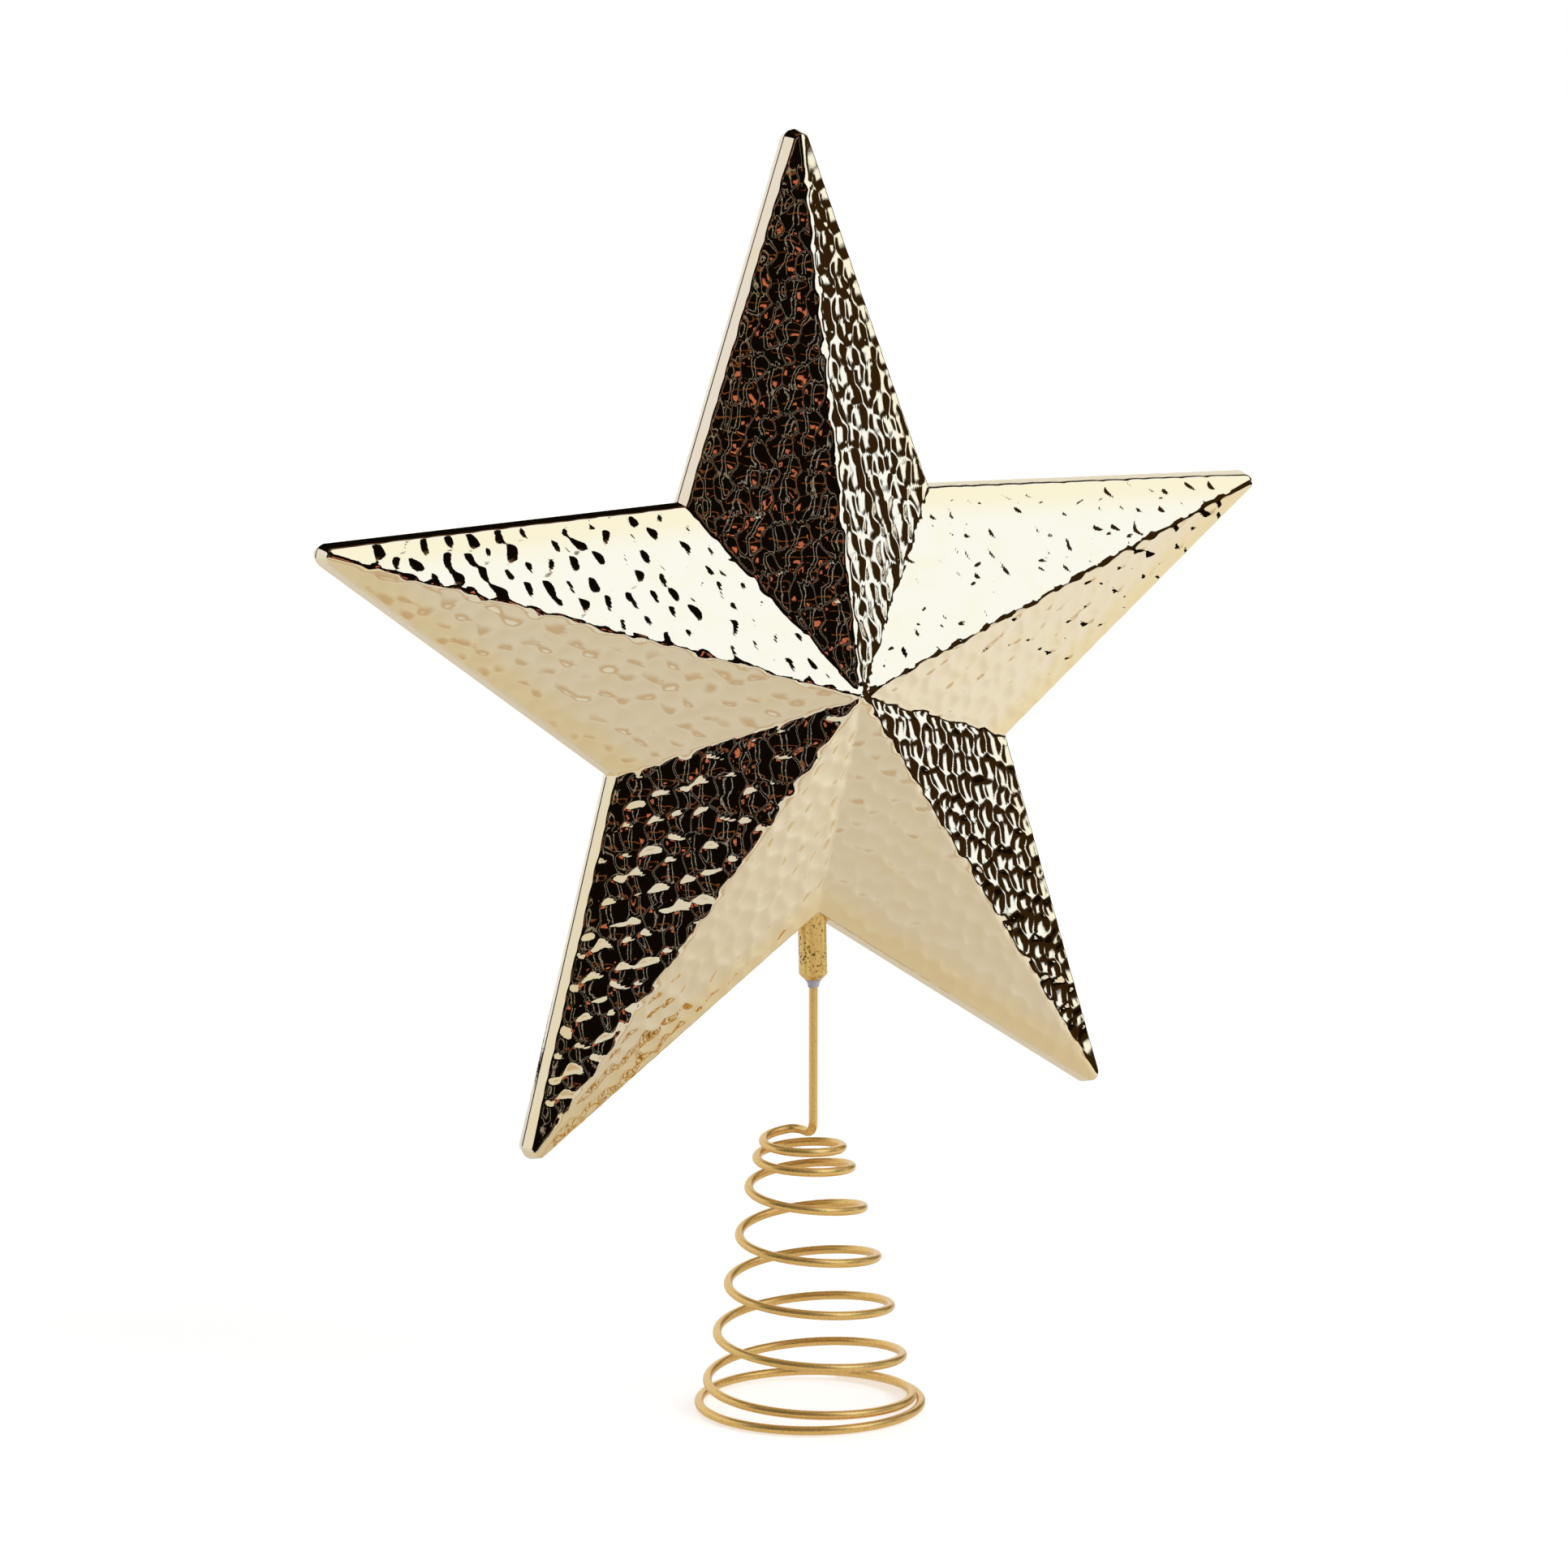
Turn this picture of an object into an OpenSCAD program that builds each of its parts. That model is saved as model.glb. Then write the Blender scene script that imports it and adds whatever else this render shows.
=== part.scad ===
// Star tree topper: a hollow hammered star in two halves, on a wire stem that ends in a conical spring.
// The origin is on the spring's axis, at the level that the lowest turn stands on. +Z is up, the star faces -Y.

/* [Star] */
// Distance from the star's centre to the sharp corner of an arm, before the corner is rounded
tip_radius = 124; // [105:1:150]
// Distance from the star's centre to the valley between two arms
valley_radius = 51; // [44:0.5:60]
// Height of the facets, from the edge of the rim to the centre point
facet_rise = 22.8; // [18:0.2:32]
// How far the rim widens from the edge of the facets to the seam
rim_draft = 0.9; // [0.2:0.1:1.6]
// Rounding of the arm corners
tip_round = 2.8; // [1:0.1:4]
// Wall of the two shells
shell_wall = 1.8; // [1.2:0.1:2.4]
// Height of the star's centre above the level that the spring stands on
star_height = 164; // [150:1:190]
// Sideways tilt of the star about the mouth of its socket, in degrees
star_tilt = 1.5; // [-3:0.1:3]

/* [Shell joint] */
// Thickness of the locating lip
lip_wall = 0.9; // [0.7:0.1:1.4]
// Gap between the lip and the rim that it sits in
lip_gap = 0.15; // [0.1:0.05:0.3]
// Distance of the locating pins from the star's centre
pin_circle = 62; // [50:1:75]
// Diameter of a locating pin
pin_d = 3; // [2:0.1:4]
// How far a pin reaches past the seam
pin_reach = 4; // [2:0.1:5]
// Gap around a pin, and between the two bosses
pin_gap = 0.15; // [0.1:0.05:0.3]
// Wall of a boss around its pin
boss_wall = 1.4; // [1:0.1:2]

/* [Socket] */
// Outside diameter of the socket
socket_d = 6.4; // [5:0.1:8]
// How far the socket hangs below the notch of the star
socket_drop = 15.6; // [8:0.2:22]
// How far the socket reaches into the star, above the notch
socket_reach = 20; // [16:0.5:24]
// Chamfer at the mouth of the socket
socket_chamfer = 1.2; // [0.4:0.1:1.6]
// Gap between the socket and the shells
socket_gap = 0.1; // [0.05:0.05:0.3]
// How far the rim stands proud of the socket's seat, at the front and at the back
rim_cover = 0.1; // [0.05:0.05:3]
// Height of the collar that keeps the socket in the star
collar_h = 2; // [1.5:0.1:3]
// How far the collar stands out from the socket
collar_step = 1.3; // [0.8:0.1:1.8]
// Distance from the notch up to the collar
collar_rise = 12; // [9:0.2:16]
// Thickness of the ribs that hold the collar
rib_t = 1.6; // [1.2:0.1:2.4]
// Width of the ribs
rib_w = 18; // [14:0.5:24]

/* [Wire] */
// Diameter of the wire
wire_d = 2; // [1.6:0.1:2.4]
// How far the wire reaches into the socket
wire_grip = 25; // [16:0.5:28]
// Least gap between the wire and the bore of the socket
wire_slack = 0.1; // [0.05:0.05:0.2]
// How far the glue bead hangs below the mouth of the socket
bead_drop = 1.6; // [0.8:0.1:3]
// Thickness of the glue around the wire at the bead's lower end
bead_edge = 0.5; // [0.3:0.1:0.8]
// How far the glue reaches up the bore
bead_plug = 4; // [2:0.5:8]
// How far the stem stands beside the spring's axis
stem_offset = 1.4; // [0:0.1:3]

/* [Spring] */
// Radius of the lowest turn, to the middle of the wire
base_radius = 25.5; // [22:0.5:32]
// Radius of the highest turn, to the middle of the wire
top_radius = 8.1; // [6.5:0.1:11]
// Number of turns
turns = 7.9; // [6.9:1:8.9]
// Rise for each turn where the spring is open
open_pitch = 11.3; // [8:0.1:12]
// Rise for each turn where the spring closes at the top
top_pitch = 3.8; // [3:0.1:6]
// How far the cut end flares out from the first turn, clear of the turn above it
seat_flare = 0.6; // [0.4:0.1:1.2]
// Lean of the spring's top to the side, in degrees
spring_lean = 1.65; // [-3:0.05:3]
// Direction of the cut end at the bottom, in degrees from +X
cut_angle = 48; // [0:1:90]
// Straight run of the wire after the last turn, before it bends in to the stem
hook_run = 2.4; // [1.5:0.1:4]
// Height of the bend that turns the wire up into the stem
elbow_rise = 3.2; // [2.5:0.1:8]

/* [Hidden] */

champagne = "#e6d3a6";
gold = "#caa050";
glue = "#b9b3c0";

arms = 5;
arm_step = 360 / arms;
round_fn = 48;
corner_fn = 32;
// A little extra length, so that a cut runs clear of the face that it goes through
past = 1;
// Room between the rim and the prism that rounds the arm corners, so that only the corners are cut
corner_room = 0.05;

// Star: the rim covers the socket, and the facets rise from the rim to the centre point.
rim_depth = socket_d / 2 + socket_gap + rim_cover;
edge_length = sqrt(tip_radius ^ 2 + valley_radius ^ 2 - 2 * tip_radius * valley_radius * cos(arm_step / 2));
edge_distance = tip_radius * valley_radius * sin(arm_step / 2) / edge_length;
facet_slope = atan(facet_rise / edge_distance);
// Drop of the inner facets that leaves the wall's thickness square to the facet
wall_drop = shell_wall / cos(facet_slope);
// The lip is as high as the straight part of the rim's inside
lip_height = rim_depth - wall_drop;
facet_outline = [for (i = [0 : 2 * arms - 1])
    let (radius = i % 2 == 0 ? tip_radius : valley_radius, angle = 90 + i * arm_step / 2)
    radius * [cos(angle), sin(angle)]];
// The seam's outline is the facets' one, widened by the draft all round
seam_outline = facet_outline * (edge_distance + rim_draft) / edge_distance;

// Socket, measured along the star's own upright axis from its centre
socket_top = -valley_radius + socket_reach;
socket_mouth = -valley_radius - socket_drop;
collar_bottom = -valley_radius + collar_rise;
collar_d = socket_d + 2 * collar_step;
mouth_z = star_height + socket_mouth;
// The bore leaves room for the wire to stand upright while the star tilts
bore_d = wire_d + 2 * wire_slack + 2 * wire_grip * tan(abs(star_tilt));
bore_depth = wire_grip + past;
plug_d = bore_d - 2 * wire_slack;
bead_d = socket_d - 2 * socket_chamfer;

// Spring: the rise for each turn grows from nothing over the first range and falls to the top pitch over the second
opening = [0.62, 1.93];
closing = [turns - 2.55, turns - 1.15];
// Share by which the radius lags at both ends of the spring
radius_ease = 0.29;
rings = 24;
sides = 12;
bend_rings = 8;
// Rings of the path at which one length of the wire ends and the next begins
seat_end = 1.5 * rings;
lower_end = 3.5 * rings;
middle_end = round((turns - 2.65) * rings);

function unit(v) = v / norm(v);

// Sum of a rise that ramps from 0 to 1 over a range of turns
function ramped(turn, range) =
    turn < range[0] ? 0 :
    turn < range[1] ? (turn - range[0]) ^ 2 / (2 * (range[1] - range[0])) :
    turn - (range[0] + range[1]) / 2;

function turn_height(turn) =
    wire_d / 2 + open_pitch * ramped(turn, opening) - (open_pitch - top_pitch) * ramped(turn, closing);

function turn_radius(turn) =
    let (share = turn / turns)
    base_radius + (top_radius - base_radius) * (share - radius_ease * sin(360 * share) / (2 * PI))
    + seat_flare * max(0, 1 - turn) ^ 2;

coil_top = turn_height(turns);

// Middle of the wire at a number of turns: a left-hand helix that leans more the higher it gets
function coil_point(turn) =
    let (angle = cut_angle - 360 * turn,
         x = turn_radius(turn) * cos(angle),
         z = turn_height(turn),
         lean = spring_lean * (z - wire_d / 2) / coil_top)
    [x * cos(lean) - z * sin(lean), turn_radius(turn) * sin(angle), x * sin(lean) + z * cos(lean)];

// Quadratic bend from a to c that leaves and arrives along its legs to the corner b, without its first point
function bend(a, b, c) =
    [for (i = [1 : bend_rings]) let (t = i / bend_rings) (1 - t) ^ 2 * a + 2 * t * (1 - t) * b + t ^ 2 * c];

coil_path = [for (i = [0 : round(turns * rings)]) coil_point(min(i / rings, turns))];
coil_end = coil_path[len(coil_path) - 1];
hook_corner = coil_end + hook_run * unit(coil_end - coil_path[len(coil_path) - 2]);
elbow_corner = [stem_offset, 0, coil_end.z];
hook_middle = (hook_corner + elbow_corner) / 2;
stem_foot = elbow_corner + [0, 0, elbow_rise];
wire_path = concat(coil_path,
                   bend(coil_end, hook_corner, hook_middle),
                   bend(hook_middle, elbow_corner, stem_foot));
last = len(wire_path) - 1;

function tangent(i) =
    i == 0 ? unit(wire_path[1] - wire_path[0]) :
    i == last ? [0, 0, 1] :
    unit(wire_path[i + 1] - wire_path[i - 1]);

// Direction across the wire at each point, carried along the path without twist
function squared(v, along) = unit(v - along * (v * along));
wire_across = [for (i = 0, v = squared([cos(cut_angle), sin(cut_angle), 0], tangent(0));
                    i <= last;
                    i = i + 1, v = i <= last ? squared(v, tangent(i)) : v) v];

function wire_ring(i) =
    let (v = wire_across[i], w = cross(tangent(i), v))
    [for (k = [0 : sides - 1]) wire_path[i] + wire_d / 2 * (v * cos(360 * k / sides) + w * sin(360 * k / sides))];

// One length of the wire, between two points of its path
module wire_length(from, to) {
    count = to - from;
    ring_points = [for (i = [from : to]) each wire_ring(i)];
    skin = [for (i = [0 : count - 1], k = [0 : sides - 1])
        let (a = i * sides + k, b = i * sides + (k + 1) % sides)
        each [[a, a + sides, b], [b, a + sides, b + sides]]];
    first_cap = [for (k = [0 : sides - 1]) k];
    last_cap = [for (k = [sides - 1 : -1 : 0]) count * sides + k];
    polyhedron(ring_points, concat(skin, [first_cap, last_cap]), convexity = 8);
}

// Outline of the star at the seam with its arm corners rounded, moved inwards by an inset
module outline(inset) {
    offset(r = -inset, $fn = corner_fn)
    offset(r = tip_round, $fn = corner_fn)
    offset(delta = -tip_round)
    polygon(seam_outline);
}

// The star's half as a solid with sharp corners: a drafted rim and ten facets, all lowered by a drop.
// Below the seam it goes on straight down, so that a lowered form still reaches the seam.
module faceted_form(drop) {
    count = 2 * arms;
    form_points = concat([for (p = seam_outline) [p.x, p.y, -drop - past]],
                         [for (p = seam_outline) [p.x, p.y, -drop]],
                         [for (p = facet_outline) [p.x, p.y, rim_depth - drop]],
                         [[0, 0, rim_depth + facet_rise - drop]]);
    skin = [for (ring = [0, count], i = [0 : count - 1])
        let (a = ring + i, b = ring + (i + 1) % count)
        each [[a, a + count, b], [b, a + count, b + count]]];
    facets = [for (i = [0 : count - 1]) [2 * count + i, 3 * count, 2 * count + (i + 1) % count]];
    polyhedron(form_points, concat(skin, facets, [[for (i = [0 : count - 1]) i]]), convexity = 6);
}

// A straight prism of the outline, from one height to another
module outline_prism(inset, low, high) {
    translate([0, 0, low])
    linear_extrude(height = high - low)
    outline(inset);
}

module half_shell() {
    difference() {
        intersection() {
            outline_prism(-corner_room, 0, rim_depth + facet_rise + past);
            faceted_form(0);
        }
        intersection() {
            outline_prism(shell_wall, -past, rim_depth + facet_rise + past);
            faceted_form(wall_drop);
        }
    }
}

// Places a shape at each of the locating pins, on the middle line of each arm.
// It is turned, so that the seam of a round shape keeps clear of the arm's ridge.
module at_pins() {
    for (i = [0 : arms - 1])
        rotate([0, 0, 90 + i * arm_step])
        translate([pin_circle, 0, 0])
        rotate([0, 0, arm_step])
        children();
}

// Two ribs that hold the socket's collar between them, in one half
module collar_ribs() {
    for (y = [collar_bottom - socket_gap - rib_t, collar_bottom + collar_h + socket_gap])
        translate([-rib_w / 2, y, 0])
        cube([rib_w, rib_t, rim_depth + facet_rise]);
}

// The space that the socket takes in a half
module socket_space() {
    translate([0, socket_mouth - past, 0])
    rotate([-90, 0, 0])
    cylinder(d = socket_d + 2 * socket_gap, h = socket_top + socket_gap - socket_mouth + past, $fn = round_fn);
}

module boss(gap_d) {
    difference() {
        translate([0, 0, pin_gap])
        cylinder(d = gap_d + 2 * boss_wall, h = rim_depth + facet_rise, $fn = round_fn);
        translate([0, 0, -past])
        cylinder(d = gap_d, h = pin_reach + pin_gap + past, $fn = round_fn);
    }
}

// Moves the star from its own centre to its place, tilted about the mouth of the socket
module star_place() {
    translate([stem_offset, 0, mouth_z])
    rotate([0, -star_tilt, 0])
    translate([0, 0, -socket_mouth])
    children();
}

// One shell as it is moulded, facing up from the seam
module front_half() {
    difference() {
        union() {
            half_shell();
            intersection() {
                faceted_form(wall_drop / 2);
                union() {
                    at_pins() boss(pin_d + 2 * pin_gap);
                    collar_ribs();
                }
            }
        }
        socket_space();
    }
}

// The lip that stands past the seam, on a root that joins it to the inside of the rim
module locating_lip() {
    lip_inset = shell_wall + lip_gap;
    difference() {
        union() {
            outline_prism(shell_wall / 2, 0, lip_height);
            outline_prism(lip_inset, -lip_height, lip_height / 2);
        }
        outline_prism(lip_inset + lip_wall, -lip_height - past, lip_height + past);
    }
}

module back_half() {
    difference() {
        union() {
            half_shell();
            intersection() {
                faceted_form(wall_drop / 2);
                union() {
                    at_pins()
                        translate([0, 0, pin_gap])
                        cylinder(d = pin_d + 2 * boss_wall, h = rim_depth + facet_rise, $fn = round_fn);
                    collar_ribs();
                }
            }
            at_pins()
                translate([0, 0, -pin_reach])
                cylinder(d = pin_d, h = pin_reach + rim_depth, $fn = round_fn);
            locating_lip();
        }
        socket_space();
    }
}

module front_shell() {
    color(champagne)
    star_place()
    rotate([90, 0, 0])
    front_half();
}

module back_shell() {
    color(champagne)
    star_place()
    mirror([0, 1, 0])
    rotate([90, 0, 0])
    back_half();
}

module stem_socket() {
    color(gold)
    star_place()
    difference() {
        rotate_extrude($fn = round_fn)
        polygon([[0, socket_mouth], [socket_d / 2 - socket_chamfer, socket_mouth],
                 [socket_d / 2, socket_mouth + socket_chamfer], [socket_d / 2, collar_bottom],
                 [collar_d / 2, collar_bottom], [collar_d / 2, collar_bottom + collar_h],
                 [socket_d / 2, collar_bottom + collar_h], [socket_d / 2, socket_top], [0, socket_top]]);
        translate([0, 0, socket_mouth - past])
        cylinder(d = bore_d, h = bore_depth + past, $fn = round_fn);
    }
}

// The straight part of the wire, from the elbow to its end in the socket
module stem_rod() {
    translate(stem_foot)
    cylinder(d = wire_d, h = mouth_z + wire_grip - stem_foot.z, $fn = round_fn);
}

module glue_bead() {
    color(glue, 0.8)
    difference() {
        translate([stem_offset, 0, mouth_z])
        rotate([0, -star_tilt, 0])
        rotate_extrude($fn = round_fn)
        polygon([[0, -bead_drop], [wire_d / 2 + bead_edge, -bead_drop], [bead_d / 2, 0],
                 [plug_d / 2, 0], [plug_d / 2, bead_plug], [0, bead_plug]]);
        stem_rod();
    }
}

module stem_wire() {
    color(gold)
    stem_rod();
}

module seat_turns() {
    color(gold)
    wire_length(0, seat_end);
}

module lower_turns() {
    color(gold)
    wire_length(seat_end, lower_end);
}

module middle_turns() {
    color(gold)
    wire_length(lower_end, middle_end);
}

module upper_turns() {
    color(gold)
    wire_length(middle_end, last);
}

front_shell();
back_shell();
stem_socket();
glue_bead();
stem_wire();
seat_turns();
lower_turns();
middle_turns();
upper_turns();
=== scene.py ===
"""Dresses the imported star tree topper: hammered plating on both star shells, a cast socket with its glue, and a
painted wire wound into a conical spring. Sizes are metres and angles radians."""

import bpy
import numpy as np
from bpy.props import FloatProperty, FloatVectorProperty, IntProperty, PointerProperty
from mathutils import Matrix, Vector


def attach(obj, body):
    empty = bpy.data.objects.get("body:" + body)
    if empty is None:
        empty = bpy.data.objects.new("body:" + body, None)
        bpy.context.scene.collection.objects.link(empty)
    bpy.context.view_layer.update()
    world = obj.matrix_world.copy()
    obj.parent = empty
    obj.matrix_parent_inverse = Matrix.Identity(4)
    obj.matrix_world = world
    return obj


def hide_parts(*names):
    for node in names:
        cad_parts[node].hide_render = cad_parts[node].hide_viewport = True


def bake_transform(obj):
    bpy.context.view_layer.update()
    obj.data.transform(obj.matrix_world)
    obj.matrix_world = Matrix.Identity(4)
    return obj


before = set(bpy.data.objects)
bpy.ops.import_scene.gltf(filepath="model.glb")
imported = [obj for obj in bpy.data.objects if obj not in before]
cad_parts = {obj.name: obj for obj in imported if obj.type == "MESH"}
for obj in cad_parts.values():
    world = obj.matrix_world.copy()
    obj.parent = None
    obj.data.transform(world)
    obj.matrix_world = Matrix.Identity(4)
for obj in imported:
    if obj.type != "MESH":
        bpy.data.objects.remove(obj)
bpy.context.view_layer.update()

bl_info = {
    "name": "Star tree topper",
    "version": (1, 0, 0),
    "blender": (4, 5, 0),
    "location": "3D View > Sidebar > Star topper",
    "description": "Builds the hammered star, its socket and its spring on the packed frame",
    "category": "Object",
}

ARMS = 5
ARM_STEP = 2 * np.pi / ARMS
UP = np.array([0.0, 0.0, 1.0])

# Share of an arm's half outline that is the rounded end
END_SHARE = 0.1
# Dents: size of the table of strays, lengths of the waves that warp and ripple them, in spacings, and how far their
# depth and radius differ
STRAYS = 61
LONG_WAVES, SHORT_WAVES = np.linspace(1.1, 2.6, 7), np.linspace(0.45, 0.8, 8)
DENT_SPREAD = 0.2
# Dents fade out towards an arm's end, as shares of the smooth tip, towards the rim and towards the socket's notch
END_INSET, END_FADE = 0.0055, (0.35, 1.5)
RIM_FADE, NOTCH_FADE = (0.0003, 0.0028), (0.0025, 0.006)
# The base colour is warmer in this outer share of a facet: a painted golden reflection at the facets' edges
RIM_REFLECTION_BAND = (0.80, 0.97)

# Turns over which the spring opens, turns before its top over which it closes, and how far its radius lags behind a
# straight cone
OPENING, CLOSING, CONE_LAG = (0.62, 1.93), (2.55, 1.15), 0.29
# Where the lengths of the spring end: two counted in turns from the cut end, one from the top
SEAT_END, LOWER_END, UPPER_TURNS = 1.5, 3.5, 2.65
# Points along a turn of the spring and along a bend
TURN_STEPS, BEND_STEPS = 72, 16
# Share of the wire's radius that is left at a cut end
CUT_SHARE = 0.86


def setting(kind, **options):
    """A function that makes settings of one kind from a name, a description and a default."""
    return lambda name, description, default: kind(name=name, description=description, default=default, **options)


length = setting(FloatProperty, unit="LENGTH", precision=5)
angle = setting(FloatProperty, subtype="ANGLE")
number = setting(FloatProperty, precision=3)
power = setting(FloatProperty, unit="POWER")
count = setting(IntProperty)
place = setting(FloatVectorProperty, size=3, unit="LENGTH")
edges = setting(FloatVectorProperty, size=4, unit="LENGTH")
colour = setting(FloatVectorProperty, size=3, min=0.0, max=1.0, subtype="COLOR")


class StarSizes(bpy.types.PropertyGroup):
    """The faceted star, seen square to its seam."""

    tip_radius: length("Tip radius", "Centre to the sharp corner of an arm", 0.124)
    valley_radius: length("Valley radius", "Centre to the valley between two arms", 0.051)
    facet_rise: length("Facet rise", "Edge of the rim to the centre point", 0.0228)
    rim_depth: length("Rim depth", "Seam to the edge of the facets", 0.0034)
    rim_draft: length("Rim draft", "How far the rim widens towards the seam", 0.0009)
    rim_round: length("Rim rounding", "Width of the rounded corner between a facet and the rim", 0.0003)
    tip_round: length("Tip rounding", "Rounding of the arm corners", 0.0028)
    wall: length("Wall", "Wall of the two shells", 0.0018)
    seam_bevel: length("Seam bevel", "Height of the bevel on each side of the seam", 0.00026)
    seam_depth: length("Seam depth", "Depth of the groove at the seam", 0.00045)
    height: length("Star height", "Standing level to the star's centre", 0.164)
    tilt: angle("Tilt", "Sideways tilt about the mouth of the socket", np.radians(1.5))
    rows: count("Rows", "Rows of points from the centre to the rim", 132)


class DentSizes(bpy.types.PropertyGroup):
    """The hammer dents on the facets."""

    spacing: length("Spacing", "Distance between neighbouring dents", 0.0054)
    bowl: length("Bowl radius", "Radius of the ball that makes a dent", 0.0096)
    depth: length("Depth", "Depth of a dent at its middle", 0.0005)
    blend: length("Blend", "Softness of the crests between dents", 0.00006)
    scatter: number("Scatter", "How far a dent strays from its row, as a share of the spacing", 0.22)
    warp: length("Warp", "How far the dents are pushed out of round", 0.0003)
    ripple: length("Ripple", "Height of the fine waves over the dents", 0.00001)
    ridge: length("Ridge softness", "Softness of the ridges between facets", 0.0009)
    groove: length("Groove softness", "Softness of the grooves between arms", 0.0005)
    at_rim: number("Share at the rim", "Share of a dent's depth that is left at the rim", 0.7)
    smooth_tip: length("Smooth tip", "Length at the end of an arm that is left without dents", 0.0065)
    seed: count("Seed", "Start of the scatter", 7)


class SocketSizes(bpy.types.PropertyGroup):
    """The socket that holds the wire in the star, and the glue at its mouth."""

    diameter: length("Diameter", "Outside diameter", 0.0064)
    gap: length("Gap", "Gap between the socket and the shells", 0.0001)
    drop: length("Drop", "How far it hangs below the notch", 0.0156)
    reach: length("Reach", "How far it reaches into the star", 0.020)
    chamfer: length("Chamfer", "Chamfer at the mouth", 0.0012)
    rounding: length("Rounding", "Rounding of its corners", 0.00035)
    collar_rise: length("Collar rise", "Notch to the collar", 0.012)
    collar_height: length("Collar height", "Height of the collar", 0.002)
    collar_step: length("Collar step", "How far the collar stands out", 0.0013)
    bead_drop: length("Bead drop", "How far the glue hangs below the mouth", 0.0016)
    bead_edge: length("Bead edge", "Thickness of the glue at its lower end", 0.0003)
    bead_plug: length("Bead plug", "How far the glue reaches up the bore", 0.004)


class WireSizes(bpy.types.PropertyGroup):
    """The wire of the stem and the spring."""

    diameter: length("Wire diameter", "Diameter of the wire", 0.002)
    grip: length("Grip", "How far the wire reaches into the socket", 0.025)
    slack: length("Slack", "Least gap between the wire and the bore", 0.0001)
    stem_offset: length("Stem offset", "Stem beside the spring's axis", 0.0014)
    base_radius: length("Base radius", "Lowest turn, to the middle of the wire", 0.0255)
    top_radius: length("Top radius", "Highest turn, to the middle of the wire", 0.0081)
    turns: number("Turns", "Number of turns", 7.9)
    open_pitch: length("Open pitch", "Rise for each turn where the spring is open", 0.0113)
    top_pitch: length("Top pitch", "Rise for each turn where the spring closes", 0.0038)
    seat_flare: length("Seat flare", "How far the cut end flares out from the first turn", 0.0006)
    lean: angle("Lean", "Lean of the spring's top", np.radians(1.65))
    cut_angle: angle("Cut angle", "Direction of the cut end from +X", np.radians(48.0))
    hook_run: length("Hook run", "Straight run after the last turn", 0.0024)
    elbow_rise: length("Elbow rise", "Height of the bend into the stem", 0.0032)
    sides: count("Sides", "Points round the wire", 20)


class Finishes(bpy.types.PropertyGroup):
    """Colours of the finishes."""

    plating: colour("Star plating", "Champagne gold plating of the star", (0.86, 0.72, 0.47))
    # Warm colour for slow clouds in the plating and for the painted golden reflection towards the rim
    warm_tone_and_reflection: colour("Warm plating", "Warmer places in the star's plating", (0.86, 0.68, 0.37))
    socket: colour("Socket plating", "Gold plating of the socket", (0.80, 0.53, 0.17))
    socket_pit: colour("Socket pits", "Dark pits in the cast socket", (0.16, 0.08, 0.015))
    paint: colour("Wire paint", "Satin gold paint of the wire", (0.95, 0.61, 0.19))
    paint_dark: colour("Worn paint", "Darker grain in the wire's paint", (0.76, 0.45, 0.11))
    glue: colour("Glue", "Set glue at the mouth of the socket", (0.42, 0.39, 0.45))


class StageSettings(bpy.types.PropertyGroup):
    """Camera, floor and light."""

    camera: place("Camera", "Place of the camera", (-0.53439, -1.00566, 0.31360))
    target: place("Target", "Point in the middle of the picture", (-0.005962, 0.0, 0.141751))
    lens: number("Lens", "Focal length in millimetres on a 36 mm sensor", 119.65)
    floor: colour("Floor", "Colour of the floor", (0.86, 0.86, 0.86))
    table: edges("Table", "Edges of the reflected table: left, right, front and back", (-0.9, 0.54, -0.84, 0.78))
    # Darker than the far table: the star's painted shadow on the reflected table
    table_in_star_shadow: colour("Table under the star", "Reflected colour of the table under the star", (0.68, 0.65, 0.62))
    table_far: colour("Table further out", "Reflected colour of the table further out", (0.80, 0.84, 0.93))
    runner: colour("Runner", "Reflected colour of a strip across the table in front of the star", (0.50, 0.32, 0.13))
    room: length("Room radius", "Radius of the reflected room", 0.9)
    dark: colour("Dark", "Colour of the unlit room", (0.0045, 0.003, 0.002))
    fill: number("Fill", "Strength of the even light from all sides", 0.38)
    softbox: power("Softbox", "Power of the tall softbox", 9.0)
    top_light: power("Top light", "Power of the light overhead", 5.0)


class TopperSettings(bpy.types.PropertyGroup):
    """All settings of the topper."""

    star: PointerProperty(type=StarSizes)
    dents: PointerProperty(type=DentSizes)
    socket: PointerProperty(type=SocketSizes)
    wire: PointerProperty(type=WireSizes)
    finishes: PointerProperty(type=Finishes)
    stage: PointerProperty(type=StageSettings)


# Surfaces


def smoothstep(low, high, value):
    """0 up to low, 1 from high on, and 3t² - 2t³ between them."""
    t = np.clip((value - low) / (high - low), 0.0, 1.0)
    return t * t * (3 - 2 * t)


def soft_min(a, b, width):
    """The smaller of two heights, rounded with a parabola where they differ by less than the width."""
    t = np.clip(0.5 + 0.5 * (b - a) / width, 0.0, 1.0)
    return b + (a - b) * t - width * t * (1 - t)


def soft_max(a, b, width):
    """The larger of two heights, rounded in the same way."""
    return -soft_min(-a, -b, width)


def parabola(start, corner, end, t):
    """Point at share t of the parabola that leaves start for the corner and comes from it to the end."""
    return (1 - t) ** 2 * start + 2 * t * (1 - t) * corner + t**2 * end


def unit(v):
    """Directions of length 1."""
    return v / np.linalg.norm(v, axis=-1, keepdims=True)


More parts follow.
